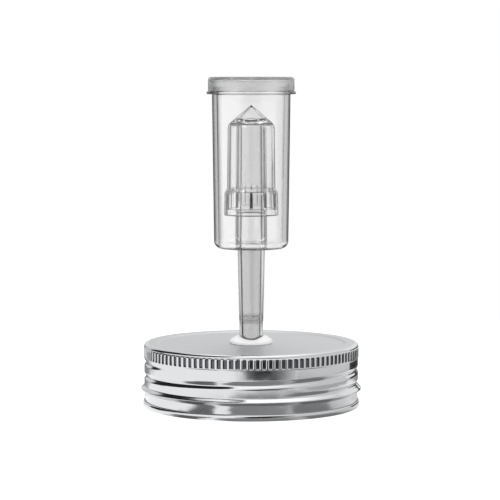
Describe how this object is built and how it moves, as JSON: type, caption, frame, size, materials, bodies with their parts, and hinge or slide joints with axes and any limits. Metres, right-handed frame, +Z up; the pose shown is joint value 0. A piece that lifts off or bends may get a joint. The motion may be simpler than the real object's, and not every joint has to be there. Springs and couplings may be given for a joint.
{
  "type": "fermentation lid with airlock",
  "caption": "Wide-mouth steel screw lid with a soft grommet and a clear airlock of body, float and vented cap, for fermenting in a jar.",
  "frame": {"origin": "on the axis, at the lower edge of the lid's hem", "axes": "+Z up along the common axis of lid and airlock, -Y the side the picture shows"},
  "size_m": [0.0898, 0.0898, 0.1338],
  "materials": {
    "steel": "bright rolled sheet",
    "ring_silicone": "matte",
    "grommet_silicone": "satin",
    "clear_plastic": "clear",
    "float_plastic": "clear",
    "cap_plastic": "translucent"
  },
  "bodies": {
    "lid": {"screw_lid": "steel", "sealing_ring": "ring_silicone", "grommet": "grommet_silicone"},
    "airlock": {"airlock_body": "clear_plastic"},
    "float": {"float": "float_plastic"},
    "cap": {"airlock_cap": "cap_plastic"}
  },
  "joints": [
    {"name": "airlock_pull", "type": "slide", "parent": "lid", "child": "airlock", "axis": [0, 0, 1], "range_m": [0, 0.03]},
    {"name": "float_lift", "type": "slide", "parent": "airlock", "child": "float", "axis": [0, 0, 1], "range_m": [0, 0.0095]},
    {"name": "cap_pull", "type": "slide", "parent": "airlock", "child": "cap", "axis": [0, 0, 1], "range_m": [0, 0.02]}
  ]
}
